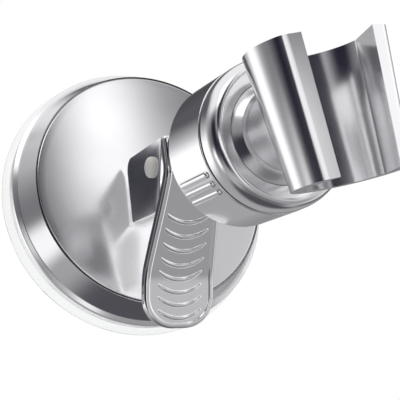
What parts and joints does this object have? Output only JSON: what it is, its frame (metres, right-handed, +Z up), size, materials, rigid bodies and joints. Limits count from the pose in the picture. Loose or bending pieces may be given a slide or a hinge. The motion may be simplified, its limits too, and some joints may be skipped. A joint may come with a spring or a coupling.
{
  "type": "hand shower holder",
  "caption": "Wall holder for a hand shower: suction-cup base with a locking lever, a tilting barrel and a turning tapered clip that the handset drops into.",
  "frame": {"origin": "centre of the suction cup's face on the wall", "axes": "+Y into the wall, -Y out of it towards the user, +X to the right seen from the front, +Z up"},
  "size_m": [0.0896, 0.1377, 0.0931],
  "materials": {
    "clear_cup": "clear soft vinyl, smooth",
    "plating": "mirror-bright plating on moulded plastic",
    "pale_pin": "off-white nylon, slightly glossy",
    "stem_plastic": "off-white moulding",
    "steel": "plain stainless fasteners",
    "friction_plastic": "dark washers",
    "soft_ring": "black soft ring"
  },
  "bodies": {
    "base": {"suction_cup": "clear_cup", "base_cover": "plating"},
    "stem": {"cup_stem": "stem_plastic", "pivot_pin": "pale_pin"},
    "lever": {"lever": "plating", "arm_fork": "plating", "fork_screw_left": "steel", "fork_screw_right": "steel", "tilt_bolt": "steel", "tilt_nut": "steel"},
    "arm": {"arm_core": "plating", "front_collar": "plating", "friction_washer_left": "friction_plastic", "friction_washer_right": "friction_plastic", "spring_washer": "steel"},
    "sleeve": {"barrel_sleeve": "plating"},
    "clip": {"clip": "plating", "hub_ring": "soft_ring", "hub_washer": "steel", "hub_screw": "steel"}
  },
  "joints": [
    {"name": "stem_pull", "type": "slide", "parent": "base", "child": "stem", "axis": [0, 1, 0], "range_m": [0, 0.0026], "deforming": ["suction_cup"]},
    {"name": "lever_swing", "type": "hinge", "parent": "stem", "child": "lever", "pos_m": [0, -0.0402, -0.0018], "axis": [-1, 0, 0], "range_deg": [0, 90]},
    {"name": "arm_tilt", "type": "hinge", "parent": "lever", "child": "arm", "pos_m": [0, -0.06446, -0.00928], "axis": [-1, 0, 0], "range_deg": [-45, 25]},
    {"name": "sleeve_turn", "type": "hinge", "parent": "arm", "child": "sleeve", "pos_m": [0, -0.08625, -0.0123], "axis": [0, -0.9905, -0.1374], "range_deg": [0, 90]},
    {"name": "clip_turn", "type": "hinge", "parent": "arm", "child": "clip", "pos_m": [0, -0.09962, -0.01416], "axis": [0, -0.9905, -0.1374], "continuous": true}
  ],
  "couplings": [
    {"joint": "stem_pull", "follows": "lever_swing", "m_per_rad": 0.001655}
  ]
}
